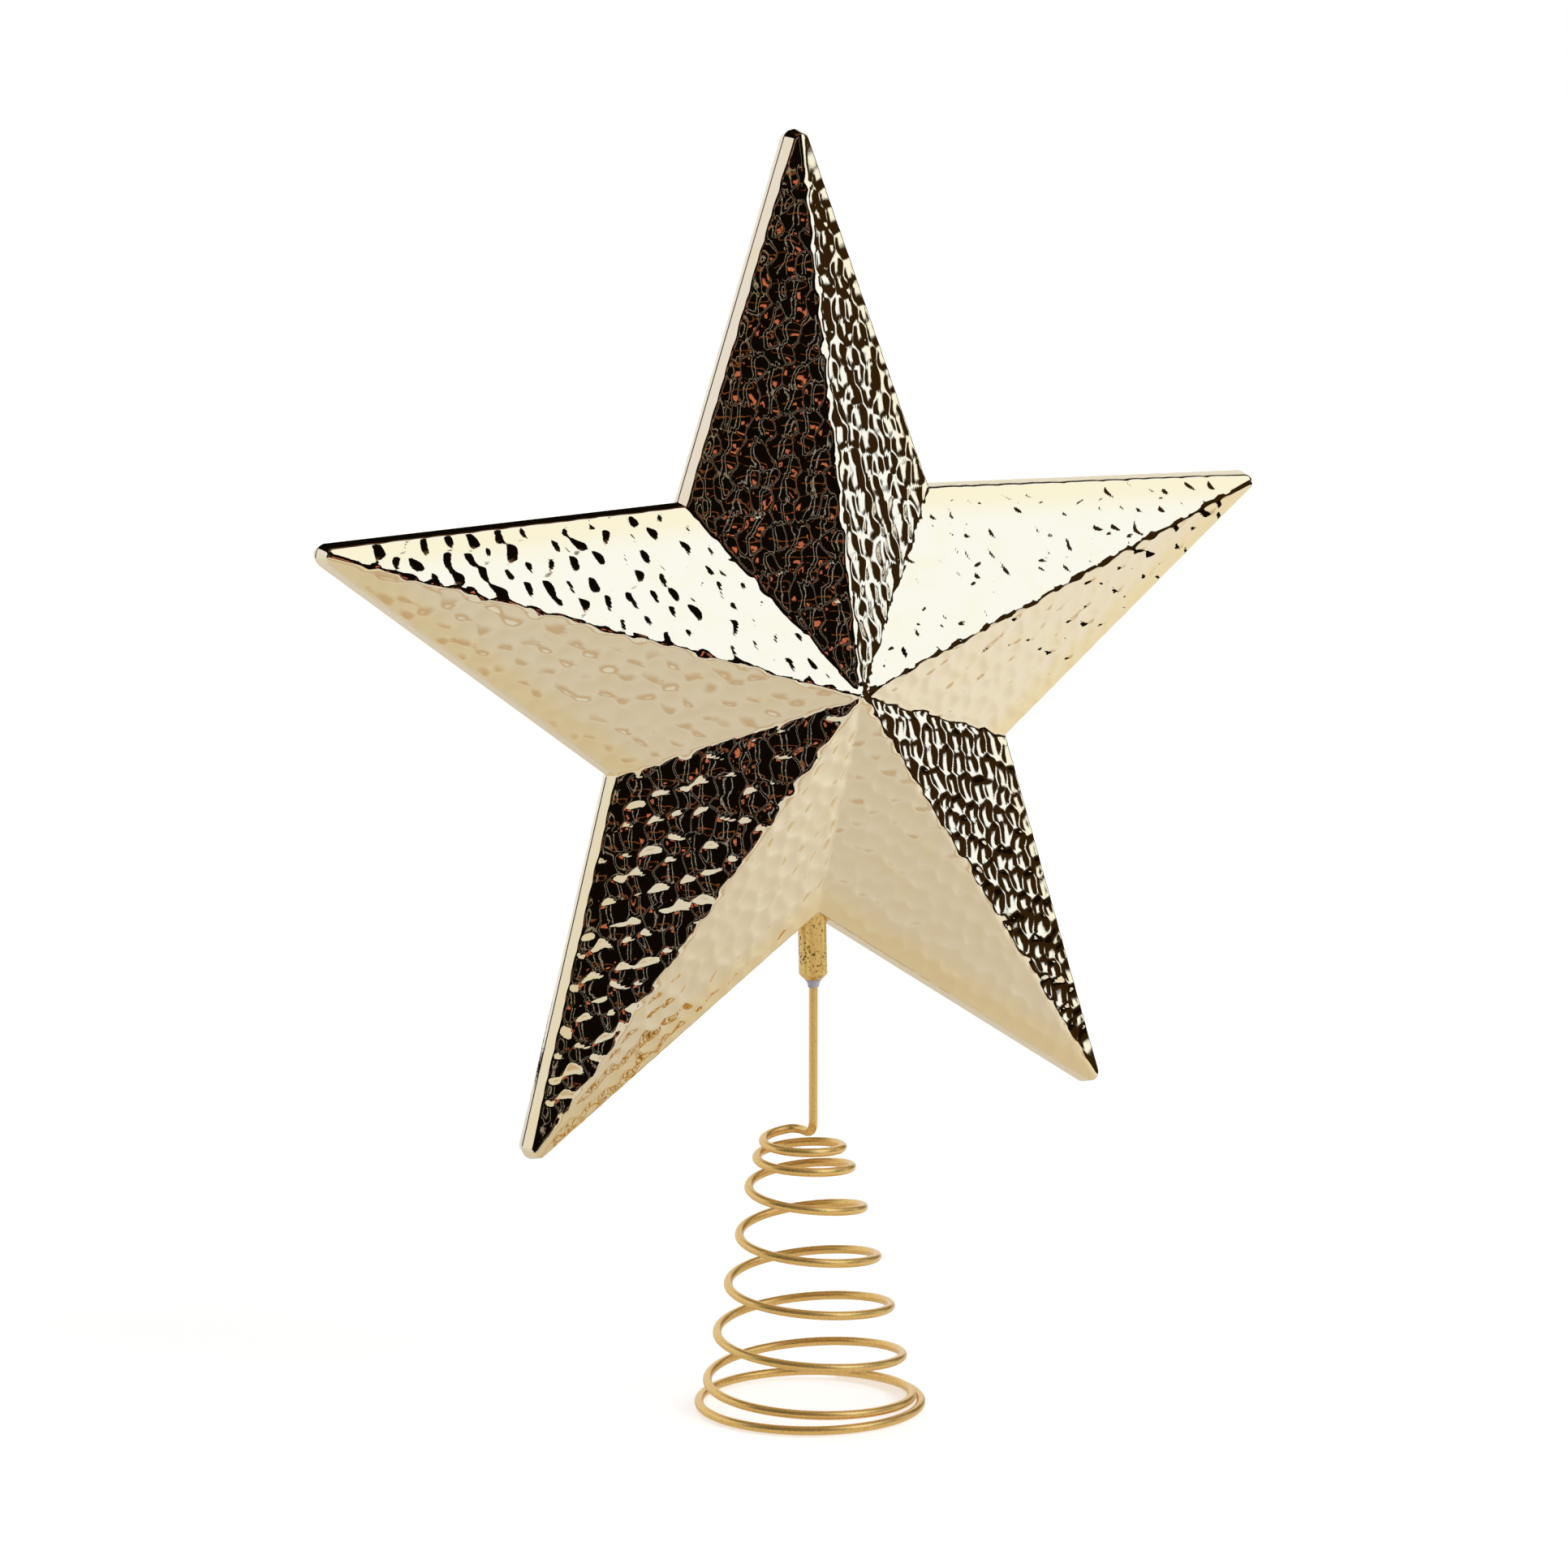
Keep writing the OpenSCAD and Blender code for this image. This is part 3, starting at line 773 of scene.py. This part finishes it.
def glue_finish(finishes):
    """Set glue: a cloudy grey resin with a wet surface."""
    material, nodes = new_finish("set_glue")
    cloudy = nodes.noise(900.0)
    pale = tuple(min(1.0, 1.5 * c) for c in finishes.glue)
    metal_or_resin(nodes, {
        "Base Color": nodes.mixed(cloudy, finishes.glue, pale),
        "Roughness": 0.18,
        "Coat Weight": 0.4,
        "Normal": nodes.bumped(cloudy, 0.2, 0.0002),
    })
    return material


def finish_of(name, maker, finishes):
    """The material of that name, made once."""
    return bpy.data.materials.get(name) or maker(finishes)


# Operators


class TOPPER_OT_shells(bpy.types.Operator):
    """Builds the front and the back shell of the star"""

    bl_idname = "topper.shells"
    bl_label = "Build star shells"

    def execute(self, context):
        settings = context.scene.topper
        material = finish_of("hammered_plating", plating_finish, settings.finishes)
        for half, (node, facing) in enumerate((("front_shell", -1.0), ("back_shell", 1.0))):
            seed = settings.dents.seed + 1000 * half
            plan, height, warm, triangles = half_star(settings.star, settings.dents, settings.socket, seed)
            points = star_place(np.stack([plan[:, 0], facing * height, plan[:, 1]], axis=1), settings)
            if facing > 0:
                triangles = triangles[:, ::-1]
            piece = mesh_piece(node.replace("shell", "star"), points, triangles, material, 55.0)
            # The warm share carries the painted golden reflection towards the rim
            give_attribute(piece, "warm", warm)
            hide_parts(node)
            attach(piece, "star")
        return {"FINISHED"}


class TOPPER_OT_socket(bpy.types.Operator):
    """Builds the socket that holds the wire in the star"""

    bl_idname = "topper.socket"
    bl_label = "Build socket"

    def execute(self, context):
        settings = context.scene.topper
        socket, star, wire = settings.socket, settings.star, settings.wire
        axis, end_gap = 0.00002, 0.001
        outer = socket.diameter / 2
        bore = wire.diameter / 2 + wire.slack + wire.grip * np.tan(abs(star.tilt))
        mouth = -star.valley_radius - socket.drop
        collar = -star.valley_radius + socket.collar_rise
        top = -star.valley_radius + socket.reach
        bore_top = mouth + wire.grip + end_gap
        corners = [
            (bore, mouth), (outer - socket.chamfer, mouth), (outer, mouth + socket.chamfer), (outer, collar),
            (outer + socket.collar_step, collar), (outer + socket.collar_step, collar + socket.collar_height),
            (outer, collar + socket.collar_height), (outer, top), (axis, top), (axis, bore_top), (bore, bore_top),
        ]
        points, triangles = turned_profile(rounded_profile(corners, socket.rounding), 96)
        material = finish_of("cast_gold", socket_finish, settings.finishes)
        piece = mesh_piece("socket", star_place(points, settings), triangles, material)
        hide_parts("stem_socket")
        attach(piece, "star")
        return {"FINISHED"}


class TOPPER_OT_glue(bpy.types.Operator):
    """Builds the bead of glue between the wire and the socket"""

    bl_idname = "topper.glue"
    bl_label = "Build glue bead"

    def execute(self, context):
        settings = context.scene.topper
        socket, star, wire = settings.socket, settings.star, settings.wire
        bite, sag_power, one_sided, lobes = 0.00004, 2.2, 0.0002, 0.0001
        mouth = -star.valley_radius - socket.drop
        inner = wire.diameter / 2 - bite
        wide = socket.diameter / 2 - socket.chamfer
        plug = wire.diameter / 2 + wire.grip * np.tan(abs(star.tilt))
        down = np.linspace(0.0, 1.0, 14)
        sag = wide + (wire.diameter / 2 + socket.bead_edge - wide) * (1 - (1 - down) ** sag_power)
        skirt = np.stack([sag, mouth - socket.bead_drop * down], axis=1)
        lower = np.array([(inner, mouth - socket.bead_drop)])
        upper = np.array([(inner, mouth + socket.bead_plug), (plug, mouth + socket.bead_plug), (plug, mouth)])
        points, triangles = turned_profile(np.concatenate([skirt, lower, upper])[::-1], 72)
        around = np.arctan2(points[:, 1], points[:, 0])
        below = np.clip((mouth - points[:, 2]) / socket.bead_drop, 0.0, 1.0)
        points[:, 2] += one_sided * below * np.sin(around + 0.6) + lobes * below * np.sin(3 * around)
        material = finish_of("set_glue", glue_finish, settings.finishes)
        piece = mesh_piece("glue", star_place(points, settings), triangles, material)
        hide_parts("glue_bead")
        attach(piece, "star")
        return {"FINISHED"}


class TOPPER_OT_spring(bpy.types.Operator):
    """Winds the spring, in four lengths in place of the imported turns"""

    bl_idname = "topper.spring"
    bl_label = "Wind spring"

    def execute(self, context):
        settings = context.scene.topper
        wire = settings.wire
        material = finish_of("satin_paint", paint_finish, settings.finishes)
        splits = (0.0, SEAT_END, LOWER_END, wire.turns - UPPER_TURNS, wire.turns)
        nodes = ("seat_turns", "lower_turns", "middle_turns", "upper_turns")
        radius = wire.diameter / 2
        clear, bevel = 1.25 * radius, 0.12 * radius
        for i, node in enumerate(nodes):
            middles, tangents, across = wire_centres(splits[i], splits[i + 1], wire, node == "upper_turns")
            rings = np.full(len(middles), radius)
            if i == 0:
                rings[0] = CUT_SHARE * radius
                middles[1] = middles[0] + bevel * tangents[0]
            points, triangles = wire_tube(middles, tangents, across, rings, wire.sides)
            piece = mesh_piece(node.replace("turns", "coil"), points, triangles, material)
            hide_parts(node)
            if i == 0:
                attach(piece, "seat")
                continue
            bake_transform(piece)
        return {"FINISHED"}


class TOPPER_OT_stem(bpy.types.Operator):
    """Builds the straight stem between the spring and the socket"""

    bl_idname = "topper.stem"
    bl_label = "Build stem"

    def execute(self, context):
        settings = context.scene.topper
        wire = settings.wire
        bevel = 0.0002
        foot = float(coil_points(np.float64(wire.turns), wire)[2]) + wire.elbow_rise
        top = mouth_level(settings) + wire.grip
        level = np.concatenate([np.linspace(foot, top - bevel, 60), [top]])
        middles = np.stack([np.full_like(level, wire.stem_offset), np.zeros_like(level), level], axis=1)
        tangents = np.tile(UP, (len(level), 1))
        across = np.tile([1.0, 0.0, 0.0], (len(level), 1))
        rings = np.full(len(level), wire.diameter / 2)
        rings[-1] *= CUT_SHARE
        points, triangles = wire_tube(middles, tangents, across, rings, wire.sides)
        piece = mesh_piece("stem", points, triangles, finish_of("satin_paint", paint_finish, settings.finishes))
        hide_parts("stem_wire")
        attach(piece, "star")
        return {"FINISHED"}


class TOPPER_OT_stage(bpy.types.Operator):
    """Sets the floor, the room that the metal reflects, the lights and the camera"""

    bl_idname = "topper.stage"
    bl_label = "Set stage"

    def execute(self, context):
        stage = context.scene.topper.stage
        centre = np.array([0.0, 0.0, context.scene.topper.star.height])
        self.lay_floor(stage)
        self.raise_room(stage, centre)
        self.hang_lights(context, stage, centre)
        self.light_world(context, stage)
        self.place_camera(context, stage)
        context.scene.view_settings.view_transform = "Standard"
        return {"FINISHED"}

    def lay_floor(self, stage):
        """A wide pale floor. The camera sees its own light, more of it further out, over the object's shadow. A
        reflection sees a table in a dark room."""
        edge = 0.001
        left, right, front, back = stage.table
        x_lines, y_lines = (
            np.concatenate([[-FLOOR_EDGE, low - edge], np.linspace(low, high, lines), [high + edge, FLOOR_EDGE]])
            for low, high, lines in ((left, right, 61), (front, back, 163))
        )
        x, y = (grid.ravel() for grid in np.meshgrid(x_lines, y_lines))
        points = np.stack([x, y, np.full_like(x, FLOOR_LEVEL)], axis=1)
        material, nodes = new_finish("floor")
        rays = nodes.add("LightPath", {}).outputs
        matt = nodes.add("BsdfDiffuse", {"Color": (*stage.floor, 1.0)}).outputs["BSDF"]
        glow = nodes.shine(nodes.math("MULTIPLY", rays["Is Camera Ray"], nodes.attribute("level")))
        seen = nodes.add("AddShader", {0: matt, 1: glow}).outputs["Shader"]
        painted = nodes.shine(1.0, nodes.attribute("paint", "Color"))
        nodes.finish(nodes.add("MixShader", {0: rays["Is Glossy Ray"], 1: seen, 2: painted}).outputs["Shader"])
        numbers = np.arange(x.size).reshape(y_lines.size, x_lines.size)
        floor = self.painted_mesh("floor", points, numbers, floor_paint(x, y, edge, stage), material)
        level = GLOW_NEAR + (1 - GLOW_NEAR) * smoothstep(*GLOW_RISE, np.hypot(x, y))
        give_attribute(floor, "level", level)

    def raise_room(self, stage, centre):
        """A round room about the star for the metal to reflect, seen by reflections only. Its grid is finer where the
        lamps are."""
        azimuth = np.concatenate([np.linspace(-70.0, 100.0, 341), np.linspace(104.0, 290.0, 46)])
        elevation = np.concatenate([np.linspace(-14.0, 66.0, 161), np.linspace(70.0, 89.0, 6)])
        a, e = (grid.ravel() for grid in np.meshgrid(azimuth, elevation))
        material, nodes = new_finish("room")
        nodes.finish(nodes.shine(1.0, nodes.attribute("paint", "Color")))
        numbers = np.arange(a.size).reshape(elevation.size, azimuth.size)
        points = centre + stage.room * toward(a, e)
        room = self.painted_mesh("room", points, numbers, room_paint(a, e, stage.dark), material)
        room.visible_camera = False
        room.visible_diffuse = False
        room.visible_shadow = False

    def painted_mesh(self, name, points, numbers, paint, material):
        """A mesh of the stage with a colour at each point."""
        piece = mesh_piece(name, points, strip_triangles(numbers), material)
        colours = piece.data.attributes.new("paint", "FLOAT_COLOR", "POINT")
        colours.data.foreach_set("color", np.column_stack([paint, np.ones(len(paint))]).astype(np.float32).ravel())
        return piece

    def hang_lights(self, context, stage, centre):
        """A tall softbox at the front right and a wide light overhead, both facing the star's centre. Each row is a
        name, azimuth and elevation in degrees, distance, size and power."""
        lights = (
            ("softbox", 36.0, 34.0, 1.5, (0.9, 1.3), stage.softbox),
            ("top_light", -160.0, 70.0, 1.8, (1.2, 1.2), stage.top_light),
        )
        for name, azimuth, elevation, distance, size, watts in lights:
            away = Vector(toward(azimuth, elevation))
            data = bpy.data.lights.new(name, "AREA")
            data.shape = "RECTANGLE"
            data.size, data.size_y = size
            data.energy = watts
            lamp = bpy.data.objects.new(name, data)
            lamp.location = Vector(centre) + distance * away
            lamp.rotation_euler = (-away).to_track_quat("-Z", "Y").to_euler()
            context.scene.collection.objects.link(lamp)

    def light_world(self, context, stage):
        """White where the camera or a reflection sees it, and a soft grey fill for everything else."""
        world = bpy.data.worlds.new("studio")
        context.scene.world = world
        nodes = FinishNodes(world)
        rays = nodes.add("LightPath", {}).outputs
        seen = nodes.math("MAXIMUM", rays["Is Camera Ray"], rays["Is Glossy Ray"])
        seen = nodes.math("MAXIMUM", seen, rays["Is Transmission Ray"])
        level = nodes.ranged(seen, 0.0, 1.0, stage.fill, 1.0)
        white = nodes.add("Background", {"Color": (1.0, 1.0, 1.0, 1.0), "Strength": level})
        nodes.finish(white.outputs["Background"], "OutputWorld")

    def place_camera(self, context, stage):
        """The camera, turned to the middle of the picture."""
        data = bpy.data.cameras.new("camera")
        data.sensor_width = 36.0
        data.lens = stage.lens
        data.clip_start, data.clip_end = 0.01, 50.0
        camera = bpy.data.objects.new("camera", data)
        camera.location = stage.camera
        away = Vector(stage.target) - Vector(stage.camera)
        camera.rotation_euler = away.to_track_quat("-Z", "Y").to_euler()
        context.scene.collection.objects.link(camera)
        context.scene.camera = camera


class TOPPER_PT_panel(bpy.types.Panel):
    """Settings and build steps of the star topper"""

    bl_idname = "TOPPER_PT_panel"
    bl_label = "Star topper"
    bl_space_type = "VIEW_3D"
    bl_region_type = "UI"
    bl_category = "Star topper"

    def draw(self, context):
        settings = context.scene.topper
        for part in settings.__annotations__:
            group = getattr(settings, part)
            box = self.layout.box()
            for name in group.__annotations__:
                box.prop(group, name)
        for operator in OPERATORS:
            self.layout.operator(operator.bl_idname)


GROUPS = (StarSizes, DentSizes, SocketSizes, WireSizes, Finishes, StageSettings, TopperSettings)
OPERATORS = (
    TOPPER_OT_shells, TOPPER_OT_socket, TOPPER_OT_glue, TOPPER_OT_spring, TOPPER_OT_stem, TOPPER_OT_stage,
)
CLASSES = (*GROUPS, *OPERATORS, TOPPER_PT_panel)


def register():
    """Registers the classes and puts the settings on the scene."""
    for cls in CLASSES:
        bpy.utils.register_class(cls)
    bpy.types.Scene.topper = PointerProperty(type=TopperSettings)


def unregister():
    """Takes the settings off the scene and unregisters the classes."""
    del bpy.types.Scene.topper
    for cls in reversed(CLASSES):
        bpy.utils.unregister_class(cls)


def main():
    """Builds the pieces and the stage in order."""
    register()
    bpy.ops.topper.shells()
    bpy.ops.topper.socket()
    bpy.ops.topper.glue()
    bpy.ops.topper.spring()
    bpy.ops.topper.stem()
    bpy.ops.topper.stage()


if __name__ == "__main__":
    main()
